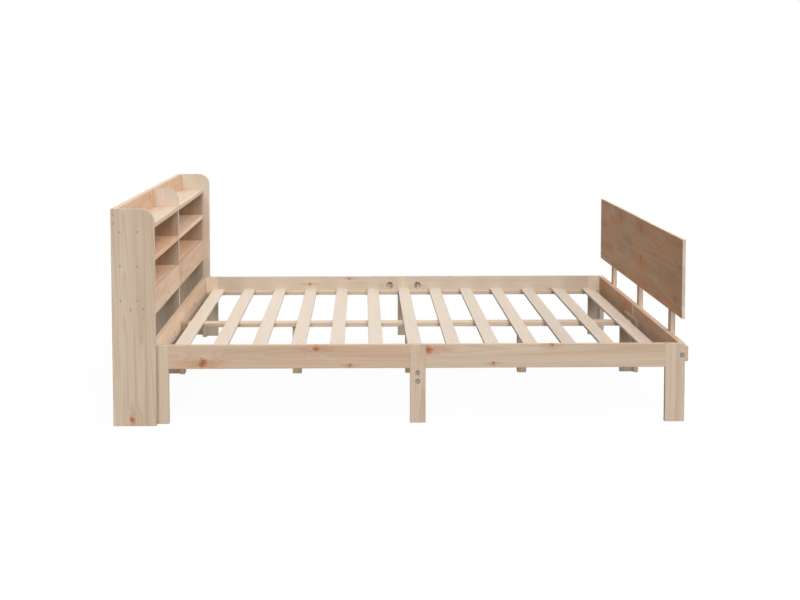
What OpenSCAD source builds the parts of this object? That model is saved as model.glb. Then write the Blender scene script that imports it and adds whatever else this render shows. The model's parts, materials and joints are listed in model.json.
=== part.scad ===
// Double bed frame in solid pine, with a slatted base on boxed rails, a raised
// footboard on three posts and a free-standing bookcase headboard.
// Millimetres. +X runs from head to foot, -Y is the near side, +Z is up.
// The origin is on the floor under the middle of the whole piece.

/* [Bed frame] */
// Outer length of the bed frame, head to foot
bed_len = 2050; // [1950:5:2200]
// Outer width of the bed frame
bed_w = 2050; // [1600:5:2200]
// Height of the rail tops above the floor
frame_h = 303; // [270:1:380]
// Thickness of the rails and of the plates of the legs
board_t = 22; // [20:1:28]
// Height of the rails
rail_h = 91; // [84:1:110]
// Radius on the long edges of slats, posts, batten and panels
edge_r = 2; // [1:0.5:3]

/* [Legs] */
// Width of a corner leg's side plate
leg_w = 76; // [66:1:100]
// Width of the plate that turns a corner leg inwards along the end of the bed
leg_return = 38; // [30:1:60]
// Width of the four middle legs in the rails
mid_leg_w = 60; // [54:1:80]
// Depth of the rib behind the middle leg at the foot
rib_d = 58; // [45:1:75]
// Thickness of that rib
rib_t = 20; // [16:1:24]
// Width of the square centre legs
centre_leg_w = 40; // [36:1:55]
// Distance from the middle of the bed to the outer centre legs
centre_leg_x = 503; // [400:1:600]

/* [Slats and their supports] */
// Width of a slat
slat_w = 58; // [45:1:80]
// Thickness of a slat
slat_t = 12; // [10:1:14]
// Distance from the end of the bed to the middle of the outermost slat
slat_end = 82.5; // [80:0.5:100]
// Height of the strips that carry the slats
ledger_h = 18; // [14:1:20]
// Depth of the strips that carry the slats
ledger_d = 20; // [16:1:30]
// Width of the flat beam down the middle
beam_w = 72; // [60:1:90]
// Height of the beam across the middle of the bed
crossbeam_h = 70; // [60:1:90]
// Length of the block that joins the halves of an end rail
splice_len = 300; // [240:5:400]
// Thickness of that block
splice_t = 14; // [12:1:20]
// Height of that block
splice_h = 38; // [34:1:44]
// Height of the block's lower edge above the lower edge of the rail
splice_up = 2; // [0:1:4]

/* [Joints] */
// Diameter of the bolts and studs
bolt_d = 8; // [6:1:8]
// Diameter of the cap heads of the bolts
bolt_head_d = 13; // [12:0.5:14]
// Height of the cap heads of the bolts
bolt_head_h = 8; // [6:1:8]
// Diameter of the holes that sink the cap heads
counterbore_d = 18; // [16:0.5:20]
// Depth of the holes that sink the cap heads
counterbore_depth = 10; // [9:0.5:12]
// Diameter of the round pockets for the nuts
pocket_d = 35; // [30:0.5:36]
// Depth of the round pockets for the nuts
pocket_depth = 18; // [17.5:0.5:19]
// Distance from the end of a rail to the middle of its pocket
pocket_in = 40; // [32:1:60]
// Distance from the middle of a pocket to the flat of its half-moon washer
washer_flat = 8.5; // [7:0.5:10]
// Height of a half-moon washer, into the board
washer_h = 13; // [12:0.5:14]
// Width across the flats of a nut
nut_af = 13; // [12:0.5:13]
// Thickness of a nut
nut_t = 6.5; // [5:0.5:8]
// Length of thread that shows past a nut
thread_end = 3; // [1:0.5:4]
// Diameter of the barrel nuts in the crossbeam
barrel_d = 12; // [11:0.5:14]
// Length of a barrel nut
barrel_len = 16; // [14:1:18]
// Distance from the end of the crossbeam to its barrel nuts
barrel_in = 35; // [28:1:50]
// Distance between the two bolts at each end of the crossbeam
cross_bolt_gap = 33; // [26:1:38]
// Thickness of the tenons
tenon_t = 8; // [6:1:10]
// Length of the tenons between rails and corner legs
tenon_len = 25; // [16:1:30]
// Length of the tenons between crossbeam and centre leg
cross_tenon_len = 12; // [8:1:16]
// Shoulder above and below a tenon
shoulder = 14; // [10:1:20]

/* [Footboard] */
// Length of the two footboard panels together
panel_len = 2020; // [1560:5:2040]
// Height of the footboard panels
panel_h = 305; // [240:5:360]
// Thickness of the footboard panels
panel_t = 13; // [12:0.5:18]
// Height of the panels' lower edge above the floor
panel_z = 395; // [385:5:440]
// Width of a footboard post
post_w = 52; // [44:1:70]
// Thickness of a footboard post and of the batten
post_t = 19; // [18:1:24]
// Distance from the middle of the bed to the outer posts
post_y = 713; // [600:1:740]
// Distance from the top of a post up to the top of the panel
post_down = 40; // [20:1:80]
// Height of the batten across the foot rail
batten_h = 60; // [50:1:68]
// Length of the batten
batten_len = 1985; // [1500:5:2040]

/* [Bookcase headboard] */
// Height of the bookcase
case_h = 827; // [800:1:900]
// Thickness of the upright boards of the bookcase
case_t = 20; // [18:1:24]
// Depth of the side boards
side_d = 163; // [150:1:180]
// Depth from the back of the bookcase to the front of its shelves
shelf_d = 130; // [125:1:145]
// Radius of the rounded top corners
corner_r = 50; // [30:1:60]
// Thickness of the shelves
shelf_t = 18; // [16:1:22]
// Height of the back board above the top shelf
back_board_h = 79; // [60:1:95]
// Clear height between two shelves
cubby_h = 111.5; // [90:0.5:125]
// Thickness of the front board and of the top back board
rail_board_t = 22; // [18:1:24]
// Height of the front board
front_board_h = 100; // [90:1:120]
// Distance from the top of the low shelf down to the front board's upper edge
front_board_drop = 1; // [0.5:0.5:8]
// Thickness of the thin back panel
back_t = 6; // [4:1:8]
// Depth of the grooves that house the shelves in the divider
housing_d = 5; // [3:0.5:7]
// Free space between each side board and the bed
side_gap = 14; // [10:1:30]

/* [Wood screws] */
// Diameter of a wood screw
screw_d = 4; // [3.5:0.5:5]
// Diameter of a wood screw's head
screw_head_d = 8; // [7:0.5:9]
// Height of a wood screw's head
screw_head_h = 3; // [2.5:0.5:3.5]
// Depth of a screw head below the surface
screw_sink = 1; // [0.5:0.5:2]
// Length of the screws in the bookcase
case_screw_len = 55; // [45:5:60]
// Length of the screws from the posts into the panels
panel_screw_len = 30; // [26:1:31]
// Length of the screws from the batten into the frame
batten_screw_len = 38; // [34:1:40]
// Length of the screws in the splice blocks
splice_screw_len = 30; // [22:1:32]
// Length of the screws from the beam into its legs
beam_screw_len = 50; // [40:1:60]
// Distance between the two screws in the end of a shelf
shelf_screw_gap = 64; // [50:1:70]
// Distance from an edge of the top back board to its screws
board_screw_in = 23; // [18:1:26]
// Distance from the front board's lower edge up to its first screw
front_screw_up = 27; // [20:1:40]
// Distance between the two screws in the end of the front board
front_screw_gap = 32; // [24:1:40]
// Distance up or down from the middle of the batten to its screws
batten_screw_rise = 15; // [12:1:18]
// Distance from the edges of the panel to its end screws
panel_screw_in = 60; // [50:1:80]
// Distance of the middle post's screws from the panel seam
seam_screw_in = 13; // [10:1:16]

/* [Clearances] */
// Space between the front of the bookcase and the head of the bed
case_gap = 0.3; // [0.1:0.1:0.8]
// Space round a bolt in its hole
bolt_fit = 0.5; // [0.3:0.1:0.9]
// Space round nuts, washers and barrel nuts
nut_fit = 0.2; // [0.1:0.1:0.4]
// Space round a screw in its hole
screw_fit = 0.1; // [0.05:0.05:0.3]
// Space round tenons, notches and board ends
wood_fit = 0.3; // [0.1:0.1:0.5]

/* [Hidden] */
$fn = 48;
through = 1;

total_len = shelf_d + case_gap + bed_len + post_t;
x_back = -total_len / 2;
x_shelf = x_back + shelf_d;
x_head = x_shelf + case_gap;
x_mid = x_head + bed_len / 2;

half_len = bed_len / 2;
half_w = bed_w / 2;
inner_len = half_len - board_t;
inner_w = half_w - board_t;
z_rail = frame_h - rail_h;
z_bolt = frame_h - rail_h / 2;
rail_end_x = half_len - leg_w;
rail_end_y = inner_w - leg_return;
rail_start = mid_leg_w / 2;
z_slat = z_rail + ledger_h;

slat_names = ["slat_01", "slat_02", "slat_03", "slat_04", "slat_05", "slat_06", "slat_07",
              "slat_08", "slat_09", "slat_10", "slat_11", "slat_12", "slat_13"];
slat_pitch = (bed_len - 2 * slat_end) / (len(slat_names) - 1);

cross_top = z_rail;
cross_mid_z = cross_top - crossbeam_h / 2;
cross_bolt_z = [cross_mid_z - cross_bolt_gap / 2, cross_mid_z + cross_bolt_gap / 2];
cross_leg_face = centre_leg_w / 2;

washer_r = pocket_d / 2 - nut_fit;
bolt_reach = nut_t - washer_flat + thread_end;

z_batten = z_bolt - batten_h / 2;
lap_t = post_t / 2;
z_panel_top = panel_z + panel_h;
z_post_top = z_panel_top - post_down;
post_places = [-post_y, 0, post_y];
post_screw_z = [panel_z + panel_screw_in, (panel_z + z_post_top) / 2, z_post_top - panel_screw_in / 2];

case_in = half_w + side_gap;
case_out = case_in + case_t;
z_top = [case_h - back_board_h - shelf_t, case_h - back_board_h];
z_mid = [z_top[0] - cubby_h - shelf_t, z_top[0] - cubby_h];
z_low = [z_mid[0] - cubby_h - shelf_t, z_mid[0] - cubby_h];
front_board_z = z_low[1] - front_board_drop - front_board_h;
x_front_board = shelf_d - rail_board_t;
web = case_t / 2 - housing_d;

board_screws = [[rail_board_t / 2, z_top[1] + board_screw_in], [rail_board_t / 2, case_h - board_screw_in]];
front_screws = [
    [shelf_d - rail_board_t / 2, front_board_z + front_screw_up],
    [shelf_d - rail_board_t / 2, front_board_z + front_screw_up + front_screw_gap]
];
function shelf_screws(z) = [
    [(shelf_d - shelf_screw_gap) / 2, (z[0] + z[1]) / 2],
    [(shelf_d + shelf_screw_gap) / 2, (z[0] + z[1]) / 2]
];
case_screws_all = concat(board_screws, shelf_screws(z_top), shelf_screws(z_mid), shelf_screws(z_low),
                         front_screws);

splice_screw_y = [0, splice_len / 4, splice_len / 2 - splice_t];
z_splice = z_rail + splice_up;
z_splice_screw = (z_slat + z_splice + splice_h) / 2;

// Helpers

// A board between two corners, given as ranges along X, Y and Z
module board(x, y, z) {
    translate([x[0], y[0], z[0]])
        cube([x[1] - x[0], y[1] - y[0], z[1] - z[0]]);
}

// A rectangle with eased corners, from the origin
module eased(a, b) {
    translate([edge_r, 0])
        square([a - 2 * edge_r, b]);
    translate([0, edge_r])
        square([a, b - 2 * edge_r]);
    for (x = [edge_r, a - edge_r], y = [edge_r, b - edge_r])
        translate([x, y])
            circle(edge_r);
}

// Draws its children, made for the far foot quarter of the bed, in another quarter
module quarter(side, end) {
    translate([x_mid, 0, 0])
        mirror([end < 0 ? 1 : 0, 0, 0])
            mirror([0, side < 0 ? 1 : 0, 0])
                children();
}

// Turns +Z of its children to the direction n
module facing(n) {
    rotate([0, acos(n[2]), atan2(n[1], n[0])])
        children();
}

// A wood screw that points down from the surface at z = 0; grow makes it a hole
module screw(length, grow = 0) {
    neck = screw_sink + screw_head_h;
    translate([0, 0, -length - grow])
        cylinder(h = length - neck + grow, d = screw_d + 2 * grow);
    translate([0, 0, -neck])
        cylinder(h = screw_head_h, d1 = screw_d + 2 * grow, d2 = screw_head_d + 2 * grow);
    if (grow > 0)
        translate([0, 0, -screw_sink])
            cylinder(h = screw_sink + through, d = screw_head_d + 2 * grow);
}

// A round pocket in the inner face of a rail, drilled along +Z from z = 0
module pocket() {
    translate([0, 0, -through])
        cylinder(h = pocket_depth + through, d = pocket_d);
}

// A half-moon washer and its nut, seated in a pocket; the bolt comes along +X
module washer_and_nut() {
    difference() {
        intersection() {
            cylinder(h = washer_h, r = washer_r, center = true);
            board([-washer_r, -washer_flat], [-washer_r, washer_r], [-washer_h, washer_h]);
        }
        rotate([0, 90, 0])
            cylinder(h = pocket_d, d = bolt_d + nut_fit, center = true);
    }
    translate([nut_fit - washer_flat, 0, 0])
        rotate([0, 90, 0])
            difference() {
                rotate(30)
                    cylinder(h = nut_t - nut_fit, d = nut_af / cos(30), $fn = 6);
                cylinder(h = 3 * nut_t, d = bolt_d + nut_fit, center = true);
            }
}

// A bolt along -Z whose cap head sits under z = 0, to the given depth
module cap_bolt(depth) {
    socket_d = bolt_head_d / 2;
    translate([0, 0, -counterbore_depth])
        difference() {
            cylinder(h = bolt_head_h, d = bolt_head_d);
            translate([0, 0, bolt_head_h / 2])
                cylinder(h = bolt_head_h, d = socket_d, $fn = 6);
        }
    translate([0, 0, -depth])
        cylinder(h = depth - counterbore_depth, d = bolt_d);
}

// The stepped hole for such a bolt
module bolt_hole(depth, head = true) {
    if (head)
        translate([0, 0, -counterbore_depth])
            cylinder(h = counterbore_depth + through, d = counterbore_d);
    translate([0, 0, -depth])
        cylinder(h = depth + through, d = bolt_d + 2 * bolt_fit);
}

// Places of the joints in the far foot quarter

// Middle of the pocket where a side rail is drawn to its middle leg
module at_side_pocket() {
    translate([rail_start + pocket_in, inner_w, z_bolt])
        rotate([-90, 0, 0])
            children();
}

// Middle of the pocket where an end rail is drawn to its corner leg
module at_end_pocket() {
    translate([inner_len, rail_end_y - pocket_in, z_bolt])
        rotate([0, 90, 0])
            children();
}

// Outer end of the bolt from the corner leg into the end rail
module at_corner_bolt() {
    translate([half_len - board_t / 2, half_w, z_bolt])
        facing([0, 1, 0])
            children();
}

// Outer ends of the two bolts from the side leg into the crossbeam
module at_cross_bolts() {
    for (z = cross_bolt_z)
        translate([0, half_w, z])
            facing([0, 1, 0])
                children();
}

// Screws through the side boards of the bookcase, on the far side
module case_screws(places, grow = 0) {
    for (p = places)
        translate([x_back + p[0], case_out, p[1]])
            facing([0, 1, 0])
                screw(case_screw_len, grow);
}

// Screws from the outside of the batten and the posts into the frame
module batten_screws(grow = 0) {
    for (y = post_places, dz = [-batten_screw_rise, batten_screw_rise])
        translate([x_mid + half_len + post_t, y, z_bolt + dz])
            facing([1, 0, 0])
                screw(batten_screw_len, grow);
}

// Screws from the posts into the panels, on the far half
module panel_screws(grow = 0) {
    for (y = [seam_screw_in, post_y], z = post_screw_z)
        translate([x_mid + half_len + post_t, y, z])
            facing([1, 0, 0])
                screw(panel_screw_len, grow);
}

// Screws through both splice blocks into the rails and middle legs behind them
module splice_screws(grow = 0) {
    for (side = [-1, 1], end = [-1, 1], y = splice_screw_y)
        if (y > 0 || side > 0)
            quarter(side, end)
                translate([inner_len - splice_t, y, z_splice_screw])
                    facing([-1, 0, 0])
                        screw(splice_screw_len, grow);
}

// Screws down through the beam into the three centre legs
module beam_screws(grow = 0) {
    step = centre_leg_w / 4;
    for (x = [-centre_leg_x, -step, step, centre_leg_x])
        translate([x_mid + x, 0, z_slat])
            screw(beam_screw_len, grow);
}

// Rails

module side_rail(side, end) {
    color("burlywood")
        quarter(side, end)
            difference() {
                union() {
                    board([rail_start, rail_end_x], [inner_w, half_w], [z_rail, frame_h]);
                    side_tenon(0);
                }
                at_side_pocket()
                    pocket();
                translate([0, half_w - board_t / 2, z_bolt])
                    rotate([0, 90, 0])
                        cylinder(h = rail_start + pocket_in, d = bolt_d + 2 * bolt_fit);
            }
}

// The tenon on the end of a side rail; grow makes it the mortise
module side_tenon(grow) {
    y = half_w - board_t / 2;
    reach = tenon_t / 2 + grow;
    board([rail_end_x - shoulder, rail_end_x + tenon_len + grow], [y - reach, y + reach],
          [z_rail + shoulder - grow, frame_h - shoulder + grow]);
}

module end_rail(side, end) {
    color("burlywood")
        difference() {
            quarter(side, end)
                difference() {
                    board([inner_len, half_len], [rail_start, rail_end_y], [z_rail, frame_h]);
                    at_end_pocket()
                        pocket();
                    at_corner_bolt()
                        bolt_hole(half_w - rail_end_y + pocket_in, head = false);
                }
            splice_screws(screw_fit);
            if (end > 0)
                batten_screws(screw_fit);
        }
}

// Legs

module corner_leg(side, end) {
    color("burlywood")
        quarter(side, end)
            difference() {
                union() {
                    board([rail_end_x, half_len], [inner_w, half_w], [0, frame_h]);
                    board([inner_len, half_len], [rail_end_y, half_w], [0, frame_h]);
                }
                side_tenon(wood_fit);
                at_corner_bolt()
                    bolt_hole(half_w - rail_end_y + through);
            }
}

module side_leg(side) {
    color("burlywood")
        quarter(side, 1)
            difference() {
                board([-rail_start, rail_start], [inner_w, half_w], [0, frame_h]);
                translate([0, half_w - board_t / 2, z_bolt])
                    rotate([0, 90, 0])
                        cylinder(h = mid_leg_w + through, d = bolt_d + 2 * bolt_fit, center = true);
                at_cross_bolts()
                    bolt_hole(board_t + through);
            }
}

module end_leg(end) {
    color("burlywood")
        difference() {
            quarter(1, end)
                union() {
                    board([inner_len, half_len], [-rail_start, rail_start], [0, frame_h]);
                    if (end > 0)
                        board([inner_len - rib_d, half_len], [-rib_t / 2, rib_t / 2], [0, z_rail]);
                }
            splice_screws(screw_fit);
            if (end > 0)
                batten_screws(screw_fit);
        }
}

module centre_leg(place) {
    color("tan")
        difference() {
            translate([x_mid + place * centre_leg_x, 0, 0])
                board([-centre_leg_w / 2, centre_leg_w / 2], [-centre_leg_w / 2, centre_leg_w / 2], [0, z_rail]);
            if (place == 0)
                for (side = [-1, 1])
                    quarter(side, 1)
                        cross_tenon(wood_fit);
            beam_screws(screw_fit);
        }
}

// Supports of the slats

module ledger_strips() {
    color("wheat")
        for (side = [-1, 1], end = [-1, 1])
            quarter(side, end)
                board([wood_fit, inner_len - wood_fit], [inner_w - ledger_d, inner_w], [z_rail, z_slat]);
}

module splice_blocks() {
    color("peru")
        difference() {
            for (end = [-1, 1])
                quarter(1, end)
                    difference() {
                        board([inner_len - splice_t, inner_len], [-splice_len / 2, splice_len / 2],
                              [z_splice, z_splice + splice_h]);
                        board([inner_len - splice_t - through, inner_len + through],
                              [-beam_w / 2 - wood_fit, beam_w / 2 + wood_fit],
                              [z_splice - through, z_slat + wood_fit]);
                    }
            splice_screws(screw_fit);
        }
}

module centre_beam(end) {
    color("wheat")
        difference() {
            quarter(1, end)
                board([wood_fit, inner_len - wood_fit], [-beam_w / 2, beam_w / 2], [z_rail, z_slat]);
            beam_screws(screw_fit);
        }
}

// The tenon on the inner end of a crossbeam; grow makes it the mortise
module cross_tenon(grow) {
    reach = tenon_t / 2 + grow;
    board([-reach, reach], [cross_leg_face - cross_tenon_len - grow, cross_leg_face + shoulder],
          [cross_top - crossbeam_h + shoulder - grow, cross_top - shoulder + grow]);
}

module crossbeam(side) {
    color("wheat")
        quarter(side, 1)
            difference() {
                union() {
                    board([-board_t / 2, board_t / 2], [cross_leg_face, inner_w], [cross_top - crossbeam_h, cross_top]);
                    cross_tenon(0);
                }
                at_cross_bolts()
                    bolt_hole(board_t + barrel_in + barrel_d, head = false);
                for (z = cross_bolt_z)
                    translate([0, inner_w - barrel_in, z])
                        rotate([0, 90, 0])
                            cylinder(h = board_t + through, d = barrel_d + 2 * nut_fit, center = true);
            }
}

module slat(i) {
    color("wheat")
        translate([x_head + slat_end + i * slat_pitch - slat_w / 2, inner_w - wood_fit, z_slat])
            rotate([90, 0, 0])
                linear_extrude(2 * (inner_w - wood_fit))
                    eased(slat_w, slat_t);
}

// Footboard

module footboard_panel(side) {
    color("peru")
        difference() {
            quarter(side, 1)
                translate([half_len - panel_t, panel_len / 2, panel_z])
                    rotate([90, 0, 0])
                        linear_extrude(panel_len / 2 - wood_fit)
                            eased(panel_t, panel_h);
            mirror([0, side < 0 ? 1 : 0, 0])
                panel_screws(screw_fit);
        }
}

module footboard_post(y) {
    color("burlywood")
        difference() {
            translate([x_mid + half_len, y - post_w / 2, z_batten])
                linear_extrude(z_post_top - z_batten)
                    eased(post_t, post_w);
            translate([x_mid + half_len, y, z_batten])
                board([-through, lap_t], [-post_w, post_w], [-through, batten_h + wood_fit]);
            batten_screws(screw_fit);
            panel_screws(screw_fit);
            mirror([0, 1, 0])
                panel_screws(screw_fit);
        }
}

module footboard_batten() {
    color("burlywood")
        difference() {
            translate([x_mid + half_len, batten_len / 2, z_batten])
                rotate([90, 0, 0])
                    linear_extrude(batten_len)
                        eased(post_t, batten_h);
            for (y = post_places)
                translate([x_mid + half_len, y, z_batten])
                    board([lap_t, post_t + through], [-post_w / 2 - wood_fit, post_w / 2 + wood_fit],
                          [-through, batten_h + through]);
            batten_screws(screw_fit);
        }
}

// Bookcase

// Outline of an upright board with its front top corner rounded, seen from the side
module upright_outline(depth) {
    square([depth - corner_r, case_h]);
    square([depth, case_h - corner_r]);
    translate([depth - corner_r, case_h - corner_r])
        circle(corner_r, $fn = 96);
}

module upright(depth) {
    translate([x_back, 0, 0])
        rotate([90, 0, 0])
            linear_extrude(case_t)
                upright_outline(depth);
}

module bookcase_side(side) {
    color("burlywood")
        mirror([0, side < 0 ? 1 : 0, 0])
            difference() {
                translate([0, case_out, 0])
                    upright(side_d);
                case_screws(case_screws_all, screw_fit);
            }
}

// The divider is let out for the back boards, the front board and the shelves
module bookcase_divider() {
    color("burlywood")
        difference() {
            translate([0, case_t / 2, 0])
                upright(shelf_d);
            translate([x_back, 0, 0]) {
                board([-through, rail_board_t], [-case_t, case_t], [z_top[1], case_h + through]);
                board([-through, back_t], [-case_t, case_t], [z_low[0], z_top[1] + through]);
                board([x_front_board, shelf_d + through], [-case_t, case_t],
                      [front_board_z - wood_fit, front_board_z + front_board_h + wood_fit]);
                for (side = [-1, 1])
                    mirror([0, side < 0 ? 1 : 0, 0]) {
                        board([back_t - through, shelf_d + through], [web, case_t], z_mid);
                        board([back_t - through, shelf_d + through], [web, case_t], z_top);
                        board([back_t - through, x_front_board + through], [web, case_t], z_low);
                    }
            }
        }
}

// Half a shelf, from the divider to the side board
module half_shelf(side, front, z) {
    color("wheat")
        mirror([0, side < 0 ? 1 : 0, 0])
            difference() {
                translate([x_back, 0, 0])
                    board([back_t, front], [web, case_in], z);
                case_screws(shelf_screws(z), screw_fit);
            }
}

module front_board(side) {
    color("burlywood")
        mirror([0, side < 0 ? 1 : 0, 0])
            difference() {
                translate([x_back, 0, 0])
                    board([x_front_board, shelf_d], [wood_fit / 2, case_in],
                          [front_board_z, front_board_z + front_board_h]);
                case_screws(front_screws, screw_fit);
            }
}

module top_back_board() {
    color("sandybrown")
        difference() {
            translate([x_back, 0, 0])
                board([0, rail_board_t], [-case_in, case_in], [z_top[1], case_h]);
            for (side = [0, 1])
                mirror([0, side, 0])
                    case_screws(board_screws, screw_fit);
        }
}

module back_panel() {
    color("sienna")
        translate([x_back, 0, 0])
            board([0, back_t], [-case_in, case_in], [z_low[0], z_top[1]]);
}

// Fasteners

module frame_bolts() {
    color("dimgray") {
        for (side = [-1, 1], end = [-1, 1])
            quarter(side, end)
                at_corner_bolt()
                    cap_bolt(half_w - rail_end_y + pocket_in + bolt_reach);
        for (side = [-1, 1])
            quarter(side, 1) {
                at_cross_bolts()
                    cap_bolt(board_t + barrel_in + barrel_d / 2);
                translate([0, half_w - board_t / 2, z_bolt])
                    rotate([0, 90, 0])
                        cylinder(h = 2 * (rail_start + pocket_in + bolt_reach), d = bolt_d, center = true);
            }
    }
}

module nuts_and_washers() {
    color("gray") {
        for (side = [-1, 1], end = [-1, 1])
            quarter(side, end) {
                at_side_pocket()
                    translate([0, 0, board_t / 2])
                        washer_and_nut();
                at_end_pocket()
                    translate([0, 0, board_t / 2])
                        rotate([0, 0, -90])
                            washer_and_nut();
            }
        for (side = [-1, 1], z = cross_bolt_z)
            quarter(side, 1)
                translate([0, inner_w - barrel_in, z])
                    difference() {
                        rotate([0, 90, 0])
                            cylinder(h = barrel_len, d = barrel_d, center = true);
                        rotate([90, 0, 0])
                            cylinder(h = 2 * barrel_d, d = bolt_d + nut_fit, center = true);
                    }
    }
}

module wood_screws() {
    color("slategray") {
        for (side = [0, 1])
            mirror([0, side, 0]) {
                case_screws(case_screws_all);
                panel_screws();
            }
        batten_screws();
        splice_screws();
        beam_screws();
    }
}

side_rail(-1, -1);  // side_rail_near_head
side_rail(-1, 1);  // side_rail_near_foot
side_rail(1, -1);  // side_rail_far_head
side_rail(1, 1);  // side_rail_far_foot
end_rail(-1, -1);  // head_rail_near
end_rail(1, -1);  // head_rail_far
end_rail(-1, 1);  // foot_rail_near
end_rail(1, 1);  // foot_rail_far
corner_leg(-1, -1);  // corner_leg_near_head
corner_leg(1, -1);  // corner_leg_far_head
corner_leg(-1, 1);  // corner_leg_near_foot
corner_leg(1, 1);  // corner_leg_far_foot
side_leg(-1);  // side_leg_near
side_leg(1);  // side_leg_far
end_leg(-1);  // head_leg
end_leg(1);  // foot_leg
ledger_strips();
splice_blocks();
centre_beam(-1);  // centre_beam_head
centre_beam(1);  // centre_beam_foot
crossbeam(-1);  // crossbeam_near
crossbeam(1);  // crossbeam_far
centre_leg(-1);  // centre_leg_head
centre_leg(0);  // centre_leg_mid
centre_leg(1);  // centre_leg_foot
for (i = [0 : len(slat_names) - 1])
    slat(i);
footboard_panel(-1);  // footboard_panel_near
footboard_panel(1);  // footboard_panel_far
footboard_post(-post_y);  // footboard_post_near
footboard_post(0);  // footboard_post_mid
footboard_post(post_y);  // footboard_post_far
footboard_batten();
bookcase_side(-1);  // bookcase_side_near
bookcase_side(1);  // bookcase_side_far
bookcase_divider();
half_shelf(-1, shelf_d, z_top);  // top_shelf_near
half_shelf(1, shelf_d, z_top);  // top_shelf_far
half_shelf(-1, shelf_d, z_mid);  // mid_shelf_near
half_shelf(1, shelf_d, z_mid);  // mid_shelf_far
half_shelf(-1, x_front_board, z_low);  // low_shelf_near
half_shelf(1, x_front_board, z_low);  // low_shelf_far
top_back_board();
back_panel();
front_board(-1);  // front_board_near
front_board(1);  // front_board_far
frame_bolts();
nuts_and_washers();
wood_screws();
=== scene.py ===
import json
import math
import random

import bmesh
import bpy
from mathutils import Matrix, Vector


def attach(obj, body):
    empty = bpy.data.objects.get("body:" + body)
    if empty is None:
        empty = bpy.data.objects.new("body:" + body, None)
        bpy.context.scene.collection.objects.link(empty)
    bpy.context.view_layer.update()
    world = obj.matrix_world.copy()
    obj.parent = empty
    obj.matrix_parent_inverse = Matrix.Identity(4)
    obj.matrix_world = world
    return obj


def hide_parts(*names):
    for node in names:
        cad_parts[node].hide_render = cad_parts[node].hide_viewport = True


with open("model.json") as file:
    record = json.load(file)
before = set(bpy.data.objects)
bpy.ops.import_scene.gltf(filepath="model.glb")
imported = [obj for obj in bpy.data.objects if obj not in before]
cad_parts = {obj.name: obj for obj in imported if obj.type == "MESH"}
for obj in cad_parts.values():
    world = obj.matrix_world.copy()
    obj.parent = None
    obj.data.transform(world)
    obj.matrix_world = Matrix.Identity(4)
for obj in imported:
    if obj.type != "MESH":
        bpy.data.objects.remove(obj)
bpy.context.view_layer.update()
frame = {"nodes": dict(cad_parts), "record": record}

slot_of = {part["node"]: part["material_slot"] for part in frame["record"]["subparts"]}
random.seed(7)

# Driving values of the boards, lengths in metres and angles in radians

MM = 0.001
MERGE_DISTANCE = 0.001 * MM
FLAT_ANGLE = math.radians(0.5)
ARRIS_ANGLE = math.radians(30)
CREASE_ANGLE = math.radians(50)
EASE_RADIUS = 1.2 * MM
EASE_SEGMENTS = 2
HOLE_SIZE = 45 * MM
NARROW_FACE = 7 * MM

# A face looks along an axis when its normal has more than this share of it
FACING = 0.7

# Each board draws a seed up to the first of these, and is off in tone and warmth by up to the others
SEEDS = 50
TONE_SPREAD = 0.02
WARMTH_SPREAD = 0.05

# Further than any board reaches from its middle, for knots and pale parts that a board doesn't have
OUT_OF_REACH = 9.0
NO_KNOT = (OUT_OF_REACH, OUT_OF_REACH, 1 * MM)
MOST_KNOTS = 3

# Knots, each as its place along and across the grain from the middle of its board, and its radius,
# in millimetres
KNOTS = {
    "side_rail_near_head": [(-319, -24, 18), (115, 30, 12), (243, -34, 7)],
    "side_rail_near_foot": [(-462, 25, 16), (-213, -29, 6), (11, 43, 8)],
    "side_rail_far_head": [(23, 7, 8), (225, 36, 6)],
    "side_rail_far_foot": [(250, -20, 4)],
    "bookcase_side_near": [(-391, -7, 11), (31, -12, 3)],
    "bookcase_side_far": [(-180, 30, 5)],
    "bookcase_divider": [(388, -62, 3)],
    "top_back_board": [(-125, 12, 9), (420, -8, 6)],
    "front_board_far": [(-425, 0, 10), (-180, 24, 5)],
    "front_board_near": [(150, -20, 5)],
    "head_rail_far": [(-90, -8, 9), (210, 20, 6)],
    "head_rail_near": [(120, -12, 6)],
    "mid_shelf_near": [(330, -18, 12)],
    "foot_rail_far": [(-300, 16, 8)],
    "foot_rail_near": [(260, -14, 7)],
    "footboard_panel_far": [(395, 36, 21), (-110, 112, 24), (180, -60, 10)],
    "footboard_panel_near": [(380, 108, 26), (375, -30, 24), (-375, -96, 13)],
}

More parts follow.
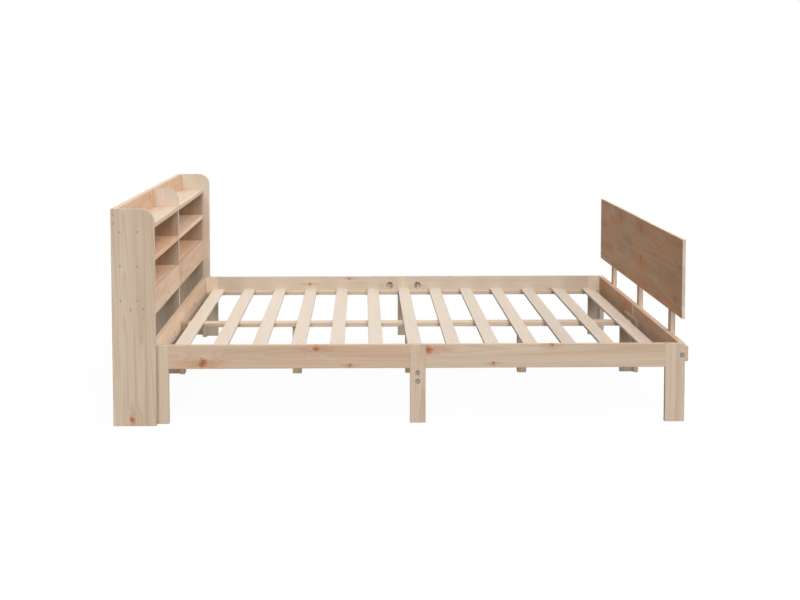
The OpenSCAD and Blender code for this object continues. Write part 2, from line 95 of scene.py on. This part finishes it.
# How light single boards are, against 1, and how reddish, down to -1 for pale and greyish; besides the
# boards' own tones, several of these paint light and shade, marked below
TONES_AND_PAINTED_LIGHT = {
    "bookcase_side_near": (1.01, -0.15),
    # Painted shade: the far bookcase side and the divider are darker for the shade inside the bookcase
    "bookcase_side_far": (0.81, -0.15),
    "bookcase_divider": (0.82, -0.2),
    "top_back_board": (1.04, 0.5),
    "top_shelf_near": (1.02, 0.0),
    "top_shelf_far": (0.98, -0.15),
    # Painted light: the middle and low shelves are lighter to make up for the shade inside the cubbies
    "mid_shelf_near": (1.2, 0.65),
    "mid_shelf_far": (1.2, 0.15),
    "low_shelf_near": (1.22, 0.4),
    "low_shelf_far": (1.2, 0.25),
    "front_board_near": (1.09, 0.15),
    "front_board_far": (1.0, 0.45),
    "head_rail_near": (1.2, 0.22),
    "head_rail_far": (1.0, 0.5),
    "foot_rail_near": (0.9, 0.8),
    "foot_rail_far": (0.9, 0.9),
    "side_rail_near_head": (1.01, 0.22),
    "side_rail_near_foot": (0.99, 0.0),
    "side_rail_far_head": (0.91, -0.6),
    "side_rail_far_foot": (0.9, -0.7),
    "corner_leg_near_head": (0.99, -0.25),
    "corner_leg_near_foot": (1.02, -0.2),
    # Painted light: the far corner legs are lighter to make up for the shade under the bed
    "corner_leg_far_foot": (1.1, -0.8),
    "corner_leg_far_head": (1.1, -0.8),
    # Painted shade: the splice blocks, the crossbeams and the middle centre leg are darker for the shade
    # under the slats
    "splice_blocks": (0.74, 0.45),
    "side_leg_far": (0.94, -0.55),
    "crossbeam_near": (0.82, 0.1),
    "crossbeam_far": (0.76, 0.15),
    "centre_leg_mid": (0.85, 0.1),
    "slat_01": (1.16, -0.5),
    "slat_04": (0.96, 0.0),
    # Painted light: the last slats are lighter to make up for the footboard panel's shadow on them
    "slat_12": (1.1, 0.1),
    "slat_13": (1.2, 0.1),
    # Painted light: the footboard panel is lighter to make up for the shade on its inner face
    "footboard_panel_near": (1.06, 0.45),
    "footboard_panel_far": (1.0, 0.45),
}

# Upright boards with painted shade: their darker tone stands for shade inside the bookcase, and their top,
# front strip and edges are left lighter and paler, out of that shade: where the top begins above the board's
# middle, and the strip in front of it
PAINTED_SHADE_LIMITS = {
    "bookcase_side_far": (320 * MM, 49 * MM),
    "bookcase_divider": (320 * MM, OUT_OF_REACH),
}

# Boards whose long edges look like their sawn ends
PALE_RIMS = ("footboard_panel_near", "footboard_panel_far")


# Boards

def box_of(points):
    """Lowest and highest corner of some points."""
    low = Vector([min(p[i] for p in points) for i in range(3)])
    high = Vector([max(p[i] for p in points) for i in range(3)])
    return low, high


def box_of_faces(faces):
    """Lowest and highest corner of some faces."""
    return box_of([vert.co for face in faces for vert in face.verts])


def connected(items, neighbours):
    """Items in groups that hang together through their neighbours."""
    left = set(items)
    groups = []
    while left:
        search = [left.pop()]
        group = []
        while search:
            item = search.pop()
            group.append(item)
            found = left.intersection(neighbours(item))
            left -= found
            search.extend(found)
        groups.append(group)
    return groups


def islands(bm):
    """The faces of each separate solid in a mesh, ordered by the solids' lowest corners."""
    solids = connected(bm.faces, lambda face: [other for edge in face.edges for other in edge.link_faces])
    return sorted(solids, key=lambda faces: tuple(box_of_faces(faces)[0]))


def sharp_chains(bm):
    """The sharp edges, in connected chains."""
    sharp = [edge for edge in bm.edges if edge.is_manifold and edge.calc_face_angle(0.0) > ARRIS_ANGLE]
    return connected(sharp, lambda edge: [other for vert in edge.verts for other in vert.link_edges])


def ease_edges(bm):
    """Rounds the arrises of the boards a little and leaves the rims of drilled holes crisp."""
    edges = []
    for chain in sharp_chains(bm):
        low, high = box_of([vert.co for edge in chain for vert in edge.verts])
        if max(high - low) > HOLE_SIZE:
            edges.extend(chain)
    bmesh.ops.bevel(bm, geom=edges, offset=EASE_RADIUS, offset_type="OFFSET", segments=EASE_SEGMENTS,
                    profile=0.5, affect="EDGES", clamp_overlap=True, material=-1)


def lay_grain(bm, node):
    """Stores where each face corner lies along, across and through its board, and what the material needs.

    That is the board's seed, tone and warmth (which on some boards paint light or shade), where the lighter
    parts left out of its painted shade begin, whether the face is sawn, and the board's knots.
    """
    grain = bm.loops.layers.float_vector.new("grain")
    board = bm.faces.layers.float_vector.new("board")
    pale = bm.faces.layers.float_vector.new("pale")
    knots = [bm.faces.layers.float_vector.new(f"knot_{i}") for i in range(MOST_KNOTS)]
    places = [tuple(value * MM for value in knot) for knot in KNOTS.get(node, [])]
    places += [NO_KNOT] * (MOST_KNOTS - len(places))
    tone, warmth = TONES_AND_PAINTED_LIGHT.get(node, (1.0, 0.0))
    # Where the lighter top and front strip, out of a board's painted shade, begin
    unshaded_top, unshaded_front = PAINTED_SHADE_LIMITS.get(node, (OUT_OF_REACH, OUT_OF_REACH))
    for island in islands(bm):
        low, high = box_of_faces(island)
        size, middle = high - low, (low + high) / 2
        through, across, along = sorted(range(3), key=lambda i: size[i])
        drawn = (
            random.uniform(0, SEEDS),
            tone * random.uniform(1 - TONE_SPREAD, 1 + TONE_SPREAD),
            warmth + random.uniform(0, WARMTH_SPREAD),
        )
        for face in island:
            on_edge = abs(face.normal[across]) > FACING
            sawn = abs(face.normal[along]) > FACING or (on_edge and node in PALE_RIMS)
            # The edges of boards with painted shade are lighter, out of that shade
            front = -OUT_OF_REACH if on_edge and node in PAINTED_SHADE_LIMITS else unshaded_front
            face[board] = drawn
            face[pale] = (unshaded_top, front, 1.0 if sawn else 0.0)
            for layer, place in zip(knots, places):
                face[layer] = place
            for loop in face.loops:
                offset = loop.vert.co - middle
                loop[grain] = (offset[along], offset[across], offset[through])


def smooth_narrow_faces(bm):
    """Shades rounded strips smooth and leaves the wide flat faces and the real corners crisp."""
    for face in bm.faces:
        longest = max(edge.calc_length() for edge in face.edges)
        face.smooth = face.calc_area() / longest < NARROW_FACE
    for edge in bm.edges:
        edge.smooth = edge.calc_face_angle(0.0) < CREASE_ANGLE


def add_to_scene(name, data):
    """A new object in the scene."""
    made = bpy.data.objects.new(name, data)
    bpy.context.scene.collection.objects.link(made)
    return made


def finish_node(node, material, eased):
    """A finished copy of a CAD node that replaces it and rides where it rides."""
    bm = bmesh.new()
    bm.from_mesh(frame["nodes"][node].data)
    bmesh.ops.remove_doubles(bm, verts=bm.verts, dist=MERGE_DISTANCE)
    bmesh.ops.dissolve_limit(bm, angle_limit=FLAT_ANGLE, verts=bm.verts, edges=bm.edges)
    if eased:
        ease_edges(bm)
    lay_grain(bm, node)
    smooth_narrow_faces(bm)
    name = f"{node}_finished"
    mesh = bpy.data.meshes.new(name)
    bm.to_mesh(mesh)
    bm.free()
    mesh.materials.clear()
    mesh.materials.append(material)
    piece = add_to_scene(name, mesh)
    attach(piece, "root")
    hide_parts(node)


# Materials

class Shader:
    """Fills the node tree of one material or world and links the nodes as they are made."""

    # Where a mix node has its factor and its two colours, among its inputs for other kinds of data
    MIX_INPUTS = (0, 6, 7)
    MIX_OUTPUT = 2

    def __init__(self, owner):
        self.owner = owner
        owner.use_nodes = True
        self.tree = owner.node_tree
        self.tree.nodes.clear()

    def put(self, source, socket):
        """A socket is linked, and anything else is a value of its own."""
        if isinstance(source, bpy.types.NodeSocket):
            self.tree.links.new(source, socket)
        else:
            socket.default_value = source

    def node(self, kind, *sources, **settings):
        """A new node with its settings, and its first inputs filled in order."""
        made = self.tree.nodes.new(kind)
        for key, value in settings.items():
            setattr(made, key, value)
        for source, socket in zip(sources, made.inputs):
            self.put(source, socket)
        return made

    def named(self, kind, sources, **settings):
        """A new node with its settings, and some inputs filled by name."""
        made = self.node(kind, **settings)
        for name, source in sources.items():
            self.put(source, made.inputs[name])
        return made

    def math(self, operation, *sources, clamp=False):
        return self.node("ShaderNodeMath", *sources, operation=operation, use_clamp=clamp).outputs[0]

    def add(self, a, b):
        return self.math("ADD", a, b)

    def sub(self, a, b):
        return self.math("SUBTRACT", a, b)

    def mul(self, a, b):
        return self.math("MULTIPLY", a, b)

    def div(self, a, b):
        return self.math("DIVIDE", a, b)

    def attribute(self, name):
        return self.node("ShaderNodeAttribute", attribute_name=name).outputs["Vector"]

    def split(self, vector):
        return tuple(self.node("ShaderNodeSeparateXYZ", vector).outputs)

    def join(self, x, y, z):
        return self.node("ShaderNodeCombineXYZ", x, y, z).outputs[0]

    def stretch(self, vector, scale):
        return self.node("ShaderNodeVectorMath", vector, scale, operation="MULTIPLY").outputs[0]

    def ellipse(self, u, v, along, across):
        """The squares of two distances, each with its weight, in one sum."""
        return self.add(self.mul(self.mul(u, u), along), self.mul(self.mul(v, v), across))

    def noise(self, vector, seed, detail=2.0, roughness=0.5):
        sources = {"Vector": vector, "W": seed, "Scale": 1.0, "Detail": detail, "Roughness": roughness}
        return self.named("ShaderNodeTexNoise", sources, noise_dimensions="4D").outputs["Fac"]

    def sway(self, place, fineness, seed, width):
        """Noise to both sides of zero, with a given width from side to side."""
        return self.mul(self.sub(self.noise(self.stretch(place, fineness), seed), 0.5), width)

    def chance(self, value):
        """A random number from 0 to 1 that stays the same for one value."""
        return self.named("ShaderNodeTexWhiteNoise", {"W": value}, noise_dimensions="1D").outputs["Value"]

    def draw(self, seed, step, low, high):
        """A random number between two limits; each step from the seed gives another one."""
        return self.ramp(self.chance(self.add(seed, step)), 0.0, 1.0, low, high, smooth=False)

    def ramp(self, value, low, high, to_low=0.0, to_high=1.0, smooth=True):
        sources = {"Value": value, "From Min": low, "From Max": high, "To Min": to_low, "To Max": to_high}
        kind = "SMOOTHSTEP" if smooth else "LINEAR"
        return self.named("ShaderNodeMapRange", sources, interpolation_type=kind).outputs["Result"]

    def mix(self, factor, a, b, blend="MIX"):
        made = self.node("ShaderNodeMix", data_type="RGBA", blend_type=blend)
        for source, index in zip((factor, a, b), self.MIX_INPUTS):
            self.put(source, made.inputs[index])
        return made.outputs[self.MIX_OUTPUT]

    def shaded(self, colour, shade):
        """A colour times a plain number."""
        return self.mix(1.0, colour, self.join(shade, shade, shade), blend="MULTIPLY")

    def bump(self, height, distance, strength):
        sources = {"Height": height, "Distance": distance, "Strength": strength}
        return self.named("ShaderNodeBump", sources).outputs[0]

    def seen(self):
        """1 for what the camera sees, straight, mirrored or through glass, and 0 for all other light."""
        path = self.node("ShaderNodeLightPath")
        seen = self.math("MAXIMUM", path.outputs["Is Camera Ray"], path.outputs["Is Glossy Ray"])
        return self.math("MAXIMUM", seen, path.outputs["Is Transmission Ray"])

    def end(self, closure, kind="ShaderNodeOutputMaterial"):
        """Links a closure to the tree's output and returns the material or world."""
        self.node(kind, closure)
        return self.owner

    def surface(self, sources):
        """Ends the tree in a principled surface."""
        return self.end(self.named("ShaderNodeBsdfPrincipled", sources).outputs[0])


def grey(value):
    """A linear grey from 0 to 1."""
    return value, value, value, 1.0


def rgb(red, green, blue):
    """A display colour from 0 to 255 as a linear one."""
    def linear(value):
        value /= 255
        return value / 12.92 if value <= 0.04045 else ((value + 0.055) / 1.055) ** 2.4
    return linear(red), linear(green), linear(blue), 1.0


PALE_PINE = rgb(226, 214, 198)
WARM_PINE = rgb(210, 144, 86)
RESIN = rgb(202, 132, 84)
KNOT_BODY = rgb(210, 124, 74)
KNOT_HEART = rgb(120, 70, 46)
KNOT_RIM = rgb(120, 76, 52)

# How fine each noise is along, across and through a board, in waves per metre; the broad streaks vary along
# the board, from ring to ring and across it
BROAD_WANDER = (1.6, 9.0, 9.0)
NARROW_WANDER = (6.0, 40.0, 40.0)
BROAD_STREAKS = (1.1, 90.0, 14.0)
BLUSH_PATCHES = (3.2, 16.0, 16.0)
FIBRES = (5.0, 420.0, 420.0)
KNOT_BENDS = (42.0, 70.0, 70.0)
KNOT_STREAKS = (50.0, 330.0, 330.0)
VENEER_WAVES = (1.2, 7.0, 7.0)
VENEER_FIBRES = (6.0, 500.0, 500.0)
PLATING_SPOTS = (300.0, 300.0, 300.0)

# Where the heart of the tree may lie: to either side of its board, below it, and how much it may lean
HEART_ASIDE = 35 * MM
HEART_BELOW = (18 * MM, 70 * MM)
HEART_LEAN = 0.025

# How widely the rings wander, and how far apart they may lie
BROAD_WANDER_WIDTH = 24 * MM
NARROW_WANDER_WIDTH = 4 * MM
RING_SPACING = (3.6 * MM, 6.2 * MM)

# Parts out of the painted shade: the height over which the lighter top fades in on either side, the width
# over which the lighter front does, how much less warm they are, and how much lighter
TOP_FADE = 40 * MM
FRONT_FADE = 4 * MM
UNSHADED_PALING = 0.7
TOP_GAIN = 0.11
FRONT_GAIN = 0.26

# Weights of the squared distances along and across the grain, for a knot, its resin and its push on the rings
KNOT_ROUND = (0.75, 0.8)
RESIN_ROUND = (0.05, 1.4)
PUSH_ROUND = (0.62, 1.0)

# How ragged and streaked knots are, how far they push the rings, in radii, and how fast that fades
KNOT_RAGGED = 2.0
KNOT_STREAKED = 3.4
PUSH = 1.1
PUSH_FADE = -0.2

# Steps from a board's seed: each thing that is drawn for a board has its own
ROW_STEP = 1.37
COLUMN_STEP = 0.71
TONE_STEP = 0.33
WARMTH_STEP = 0.47
ASIDE_STEP = 0.11
BELOW_STEP = 0.57
LEAN_STEP = 0.83
SPACING_STEP = 0.29
BEND_STEP = 9.0
STREAK_STEP = 3.0
PATCH_STEP = 5.0

# How strongly each stain covers the wood
WARM_COVER = 0.8
PALE_COVER = 0.85
BODY_COVER = 0.7
RIM_COVER = 0.5
HEART_COVER = 0.72

PINE_ROUGHNESS = (0.56, 0.7)
PINE_BUMP = 0.25 * MM
VENEER_ROUGHNESS = (0.58, 0.7)
VENEER_BUMP = 0.2 * MM
SHEEN = 0.35


def glued_staves(s, along, across, board, width, length, variety, blush):
    """The place across its own stave, and the stave's own seed, tone and warmth."""
    seed, tone, warmth = board
    row = s.math("FLOOR", s.div(across, width))
    seed = s.add(seed, s.mul(row, ROW_STEP))
    if length:
        shifted = s.add(along, s.mul(s.chance(seed), length))
        column = s.math("FLOOR", s.div(shifted, length))
        seed = s.add(seed, s.mul(column, COLUMN_STEP))
    tone = s.mul(tone, s.draw(seed, TONE_STEP, 1.0 - variety, 1.0 + variety))
    chance = s.chance(s.add(seed, WARMTH_STEP))
    warmth = s.add(warmth, s.ramp(chance, 0.5, 1.0, 0.0, blush, smooth=False))
    return s.sub(across, s.mul(s.add(row, 0.5), width)), seed, tone, warmth


def pale_parts(s, along, across, tone, warmth, end_tone, end_warmth):
    """The tone and warmth with those of the sawn ends, and of the lighter, paler parts left out of the
    painted shade.
    """
    unshaded_top, unshaded_front, sawn = s.split(s.attribute("pale"))
    # Painted shade: on boards that carry it, the top and front strip come out lighter and paler than the
    # darker rest
    top = s.ramp(s.sub(along, unshaded_top), -TOP_FADE, TOP_FADE)
    front = s.ramp(s.sub(across, unshaded_front), -FRONT_FADE, 0.0)
    warmth = s.sub(warmth, s.mul(s.math("MAXIMUM", top, front), UNSHADED_PALING))
    warmth = s.mul(warmth, s.ramp(sawn, 0.0, 1.0, 1.0, end_warmth, smooth=False))
    front = s.mul(front, s.sub(1.0, top))
    tone = s.mul(tone, s.add(s.add(s.mul(top, TOP_GAIN), s.mul(front, FRONT_GAIN)), 1.0))
    tone = s.mul(tone, s.ramp(sawn, 0.0, 1.0, 1.0, end_tone, smooth=False))
    return tone, warmth


def heart_distance(s, place, along, across, through, seed):
    """The distance from the heart of the tree, which lies under the board, a little askew and wavy."""
    aside = s.draw(seed, ASIDE_STEP, -HEART_ASIDE, HEART_ASIDE)
    below = s.draw(seed, BELOW_STEP, *HEART_BELOW)
    lean = s.draw(seed, LEAN_STEP, -HEART_LEAN, HEART_LEAN)
    wander = s.sway(place, BROAD_WANDER, seed, BROAD_WANDER_WIDTH)
    side = s.add(s.sub(across, aside), wander)
    depth = s.add(s.add(s.add(through, below), s.mul(along, lean)), s.mul(wander, 0.7))
    radius = s.math("SQRT", s.ellipse(side, depth, 1.0, 1.0))
    return s.add(radius, s.sway(place, NARROW_WANDER, seed, NARROW_WANDER_WIDTH))


def knot_marks(s, place, along, across, seed, pitch):
    """The stains of the knots and how far they push the rings aside.

    A knot is ragged and streaked, and draws out into resin along the grain.
    """
    body, dark, rim, resin, push = 0.0, 0.0, 0.0, 0.0, 0.0
    bend_along = s.sway(place, KNOT_BENDS, seed, 1.0)
    bend_across = s.sway(place, KNOT_BENDS, s.add(seed, BEND_STEP), 1.0)
    streak = s.noise(s.stretch(place, KNOT_STREAKS), s.add(seed, STREAK_STEP))
    for i in range(MOST_KNOTS):
        # Distances from the middle of the knot, in its radii
        knot_along, knot_across, size = s.split(s.attribute(f"knot_{i}"))
        u = s.div(s.sub(along, knot_along), size)
        v = s.div(s.sub(across, knot_across), size)
        bulge = s.math("EXPONENT", s.mul(s.ellipse(u, v, *PUSH_ROUND), PUSH_FADE))
        push = s.add(push, s.mul(bulge, s.mul(size, PUSH)))
        u = s.add(u, s.mul(bend_along, KNOT_RAGGED))
        v = s.add(v, s.mul(bend_across, KNOT_RAGGED))
        reach = s.math("SQRT", s.ellipse(u, v, *KNOT_ROUND))
        wing = s.math("SQRT", s.ellipse(u, v, *RESIN_ROUND))
        streaked = s.add(reach, s.mul(s.sub(streak, 0.5), KNOT_STREAKED))
        body = s.math("MAXIMUM", body, s.ramp(reach, 1.15, 0.5))
        dark = s.math("MAXIMUM", dark, s.ramp(streaked, 0.6, 0.05))
        rim = s.math("MAXIMUM", rim, s.mul(s.ramp(reach, 0.7, 0.95), s.ramp(reach, 1.25, 1.0)))
        resin = s.math("MAXIMUM", resin, s.ramp(wing, 1.9, 0.4))
    stains = (
        (s.mul(resin, s.ramp(streak, 0.3, 0.65, 0.3 * pitch, pitch)), RESIN),
        (s.mul(body, BODY_COVER), KNOT_BODY),
        (s.mul(rim, s.ramp(bend_along, -0.05, 0.2, 0.0, RIM_COVER)), KNOT_RIM),
        (s.mul(dark, HEART_COVER), KNOT_HEART),
    )
    return stains, push


def pine(name, early, late, figure=0.36, stave=None, length=None, variety=0.05, blush=0.2, pitch=0.55,
         end_tone=0.86, end_warmth=0.3):
    """Bare sanded pine: growth rings in space, knots that bend them, fibres, and staves where it is glued.

    figure is the strength of the rings, stave and length are a stave's size, variety and blush are how much
    the staves differ, pitch is the strength of the resin, and the last two are for the sawn ends.
    """
    s = Shader(bpy.data.materials.new(name))
    place = s.attribute("grain")
    along, across, through = s.split(place)
    seed, tone, warmth = s.split(s.attribute("board"))
    stave_across = across
    if stave:
        board = (seed, tone, warmth)
        glued = glued_staves(s, along, across, board, stave, length, variety, blush)
        stave_across, seed, tone, warmth = glued
    tone, warmth = pale_parts(s, along, across, tone, warmth, end_tone, end_warmth)
    stains, push = knot_marks(s, place, along, across, seed, pitch)
    radius = s.add(heart_distance(s, place, along, stave_across, through, seed), push)

    # Rings: pale early wood that darkens to a crisp late edge
    ring = s.div(radius, s.draw(seed, SPACING_STEP, *RING_SPACING))
    phase = s.math("FRACT", ring)
    late_wood = s.mul(s.ramp(phase, 0.35, 0.9), s.ramp(phase, 1.0, 0.93))
    late_wood = s.mul(late_wood, s.draw(s.math("FLOOR", ring), 0.0, 0.4, 1.0))

    # Broad and fine streaks along the fibres, and patches of blush
    broad = s.noise(s.stretch(s.join(along, radius, stave_across), BROAD_STREAKS), seed)
    fine = s.noise(s.stretch(place, FIBRES), seed, roughness=0.6)
    patch = s.noise(s.stretch(place, BLUSH_PATCHES), s.add(seed, PATCH_STEP), detail=1.0)
    blushed = s.mul(s.ramp(patch, 0.25, 0.7, 0.35, 1.0), warmth)

    colour = s.mix(s.mul(late_wood, figure), early, late)
    colour = s.mix(s.ramp(broad, 0.42, 0.72, 0.0, figure), colour, late)
    colour = s.mix(s.math("MULTIPLY", blushed, WARM_COVER, clamp=True), colour, WARM_PINE)
    colour = s.mix(s.math("MULTIPLY", warmth, -PALE_COVER, clamp=True), colour, PALE_PINE)
    for amount, stain in stains:
        colour = s.mix(amount, colour, stain)
    colour = s.shaded(colour, s.mul(s.ramp(fine, 0.25, 0.75, 0.96, 1.03, smooth=False), tone))

    height = s.add(s.mul(fine, 0.6), s.mul(late_wood, 0.4))
    return s.surface({
        "Base Color": colour,
        "Roughness": s.ramp(fine, 0.2, 0.8, *PINE_ROUGHNESS, smooth=False),
        "Specular IOR Level": SHEEN,
        "Normal": s.bump(height, PINE_BUMP, 0.35),
    })


def plywood(name, early, late):
    """Rotary-cut veneer: a broad wavy figure without knots."""
    s = Shader(bpy.data.materials.new(name))
    place = s.attribute("grain")
    seed, tone = s.split(s.attribute("board"))[:2]
    wave = s.noise(s.stretch(place, VENEER_WAVES), seed)
    lines = s.math("FRACT", s.mul(wave, 14.0))
    fine = s.noise(s.stretch(place, VENEER_FIBRES), seed)
    colour = s.mix(s.ramp(lines, 0.4, 0.95, 0.0, 0.5), early, late)
    colour = s.shaded(colour, s.mul(s.ramp(fine, 0.25, 0.75, 0.95, 1.03, smooth=False), tone))
    return s.surface({
        "Base Color": colour,
        "Roughness": s.ramp(fine, 0.2, 0.8, *VENEER_ROUGHNESS, smooth=False),
        "Specular IOR Level": SHEEN,
        "Normal": s.bump(fine, VENEER_BUMP, 0.3),
    })


def steel(name, colour, dull, roughness):
    """Plated steel with faint mottling of the plating."""
    s = Shader(bpy.data.materials.new(name))
    place = s.node("ShaderNodeTexCoord").outputs["Object"]
    spots = s.noise(s.stretch(place, PLATING_SPOTS), 3.0, detail=3.0)
    return s.surface({
        "Base Color": s.mix(s.ramp(spots, 0.35, 0.75), colour, dull),
        "Metallic": 1.0,
        "Roughness": s.ramp(spots, 0.3, 0.7, roughness, roughness + 0.15, smooth=False),
    })


MATERIALS = {
    "frame_pine": pine("frame_pine", rgb(230, 208, 184), rgb(196, 156, 122)),
    "support_pine": pine("support_pine", rgb(230, 209, 184), rgb(198, 158, 122)),
    "slat_pine": pine("slat_pine", rgb(232, 218, 200), rgb(214, 188, 160), figure=0.25),
    "panel_pine": pine("panel_pine", rgb(212, 184, 152), rgb(172, 128, 94), figure=0.6, stave=52 * MM,
                       length=360 * MM, variety=0.07, blush=0.5, pitch=0.95, end_tone=1.12, end_warmth=-1.0),
    "case_pine": pine("case_pine", rgb(229, 208, 184), rgb(196, 156, 124), stave=41 * MM),
    "back_ply": plywood("back_ply", rgb(206, 178, 146), rgb(170, 132, 98)),
    "zinc_steel": steel("zinc_steel", rgb(166, 161, 153), rgb(124, 120, 114), 0.36),
    "screw_steel": steel("screw_steel", rgb(168, 152, 134), rgb(128, 114, 100), 0.42),
}

# Pieces: the fasteners keep their CAD edges, and carry the boards' attributes without using them

METALS = ("zinc_steel", "screw_steel")

for node, slot in sorted(slot_of.items()):
    finish_node(node, MATERIALS[slot], eased=slot not in METALS)

# Stage, light and camera

FLOOR_SIZE = 60.0
FLOOR_TONE = 0.14
WORLD_TONE = (1.0, 0.97, 0.93, 1.0)
WORLD_LIGHT = 0.06

# How much of the lamps' light the floor shows to the camera, and how far it stays above plain white elsewhere
FLOOR_SHADOW = 0.07
FLOOR_MARGIN = 0.01

# Each soft lamp: the direction that its light comes from, how wide it is in degrees, and its share of
# plain daylight
LAMPS = {
    "top_light": ((0.0, 0.0, 1.0), 60, 0.12),
    "front_light": ((0.0, -0.83, 0.56), 45, 0.7),
    "foot_light": ((0.85, 0.0, 0.53), 55, 0.49),
    "back_light": ((0.0, 0.85, 0.53), 60, 0.2),
}

# The camera, fitted to the corners in the photograph: its place in metres, turn and downward tilt, lens and
# film width in millimetres, and shift in film widths
CAMERA_PLACE = (-0.1555, -6.8624, 1.3161)
CAMERA_YAW = math.radians(1.403)
CAMERA_PITCH = math.radians(4.657)
CAMERA_LENS = 69.656
CAMERA_FILM = 36.0
CAMERA_SHIFT = -0.12
CAMERA_REACH = 200.0


def floor_material():
    """Pale floor, white to the camera with a faint shadow of the object on it."""
    s = Shader(bpy.data.materials.new("floor_white"))
    daylight = WORLD_LIGHT + sum(source[2] * share for source, width, share in LAMPS.values())
    glow = 1.0 + FLOOR_MARGIN - FLOOR_SHADOW * daylight
    plain = s.named("ShaderNodeBsdfDiffuse", {"Color": grey(FLOOR_TONE)}).outputs[0]
    faint = s.named("ShaderNodeBsdfDiffuse", {"Color": grey(FLOOR_SHADOW)}).outputs[0]
    white = s.named("ShaderNodeEmission", {"Color": grey(1.0), "Strength": glow}).outputs[0]
    both = s.node("ShaderNodeAddShader", faint, white).outputs[0]
    return s.end(s.node("ShaderNodeMixShader", s.seen(), plain, both).outputs[0])


def make_floor():
    bm = bmesh.new()
    bmesh.ops.create_grid(bm, x_segments=1, y_segments=1, size=FLOOR_SIZE / 2)
    mesh = bpy.data.meshes.new("floor")
    bm.to_mesh(mesh)
    bm.free()
    mesh.materials.append(floor_material())
    floor = add_to_scene("floor", mesh)


def make_world():
    """Plain soft surroundings, white where the camera sees them."""
    s = Shader(bpy.data.worlds.new("studio"))
    plain = s.named("ShaderNodeBackground", {"Color": WORLD_TONE, "Strength": WORLD_LIGHT}).outputs[0]
    white = s.named("ShaderNodeBackground", {"Color": grey(1.0), "Strength": 1.0}).outputs[0]
    choice = s.node("ShaderNodeMixShader", s.seen(), plain, white).outputs[0]
    bpy.context.scene.world = s.end(choice, "ShaderNodeOutputWorld")


def make_lamp(name, source, width, share):
    """A wide soft light from one side; a share of 1 lights a plain face as bright as it is painted."""
    lamp = bpy.data.lights.new(name, "SUN")
    lamp.angle = math.radians(width)
    lamp.energy = math.pi * share
    made = add_to_scene(name, lamp)
    made.rotation_euler = Vector(source).to_track_quat("Z", "Y").to_euler()


def make_camera():
    data = bpy.data.cameras.new("camera")
    data.lens = CAMERA_LENS
    data.sensor_width = CAMERA_FILM
    data.shift_y = CAMERA_SHIFT
    data.clip_end = CAMERA_REACH
    camera = add_to_scene("camera", data)
    camera.location = CAMERA_PLACE
    camera.rotation_euler = (math.pi / 2 - CAMERA_PITCH, 0.0, -CAMERA_YAW)
    bpy.context.scene.camera = camera


make_floor()
make_world()
for name, (source, width, share) in LAMPS.items():
    make_lamp(name, source, width, share)
make_camera()
bpy.context.scene.view_settings.view_transform = "Standard"
